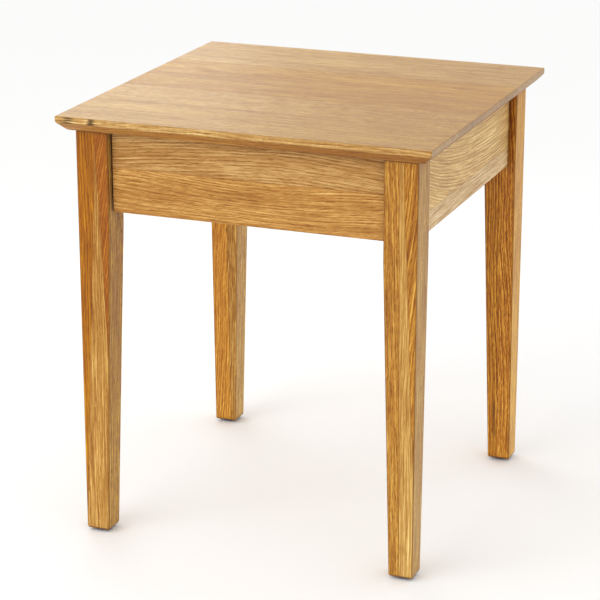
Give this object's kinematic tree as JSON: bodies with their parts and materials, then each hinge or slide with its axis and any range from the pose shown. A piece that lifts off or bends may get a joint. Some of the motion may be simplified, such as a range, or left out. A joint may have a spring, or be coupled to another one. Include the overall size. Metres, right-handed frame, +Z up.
{
  "type": "side table with drawer",
  "caption": "Square solid-wood side table with an undercut top edge, inward-tapered legs, set-back aprons and a handle-less drawer pulled by its lower edge.",
  "frame": {"origin": "on the floor, under the middle of the table; the underside of the glides is at z = 0", "axes": "+Z up, -Y towards the drawer front, +X to the right when facing the drawer"},
  "size_m": [0.5, 0.5, 0.57],
  "materials": {
    "oak_tabletop": "oiled, satin",
    "oak_legs": "oiled, satin",
    "oak_aprons": "oiled, satin",
    "oak_drawer_front": "oiled, satin",
    "oak_drawer_box": "sanded, lightly oiled",
    "beech": "planed, bare",
    "birch_plywood": "sanded, bare",
    "zinc_steel": "zinc plated",
    "glide_plastic": "moulded, matt"
  },
  "bodies": {
    "frame": {"tabletop": "oak_tabletop", "leg_front_left": "oak_legs", "leg_front_right": "oak_legs", "leg_rear_left": "oak_legs", "leg_rear_right": "oak_legs", "side_apron_left": "oak_aprons", "side_apron_right": "oak_aprons", "back_apron": "oak_aprons", "front_top_rail": "oak_aprons", "front_bottom_rail": "oak_aprons", "rail_dowels": "beech", "drawer_runner_left": "beech", "drawer_runner_right": "beech", "drawer_guide_left": "beech", "drawer_guide_right": "beech", "kicker_left": "beech", "kicker_right": "beech", "corner_block_left": "beech", "corner_block_right": "beech", "drawer_stop_left": "beech", "drawer_stop_right": "beech", "glide_front_left": "glide_plastic", "glide_front_right": "glide_plastic", "glide_rear_left": "glide_plastic", "glide_rear_right": "glide_plastic", "glide_nails": "zinc_steel", "tabletop_screws": "zinc_steel", "runner_screws": "zinc_steel", "kicker_screws": "zinc_steel", "corner_block_screws": "zinc_steel"},
    "drawer": {"drawer_front": "oak_drawer_front", "drawer_side_left": "oak_drawer_box", "drawer_side_right": "oak_drawer_box", "drawer_back": "oak_drawer_box", "drawer_bottom": "birch_plywood", "drawer_bottom_screws": "zinc_steel", "stop_button_screw": "zinc_steel"},
    "stop_button": {"stop_button": "oak_drawer_box"}
  },
  "joints": [
    {"name": "drawer_slide", "type": "slide", "parent": "frame", "child": "drawer", "axis": [0, -1, 0], "range_m": [0, 0.288]},
    {"name": "stop_button_turn", "type": "hinge", "parent": "drawer", "child": "stop_button", "pos_m": [0, 0.129, 0.5205], "axis": [0, 1, 0], "continuous": true}
  ]
}
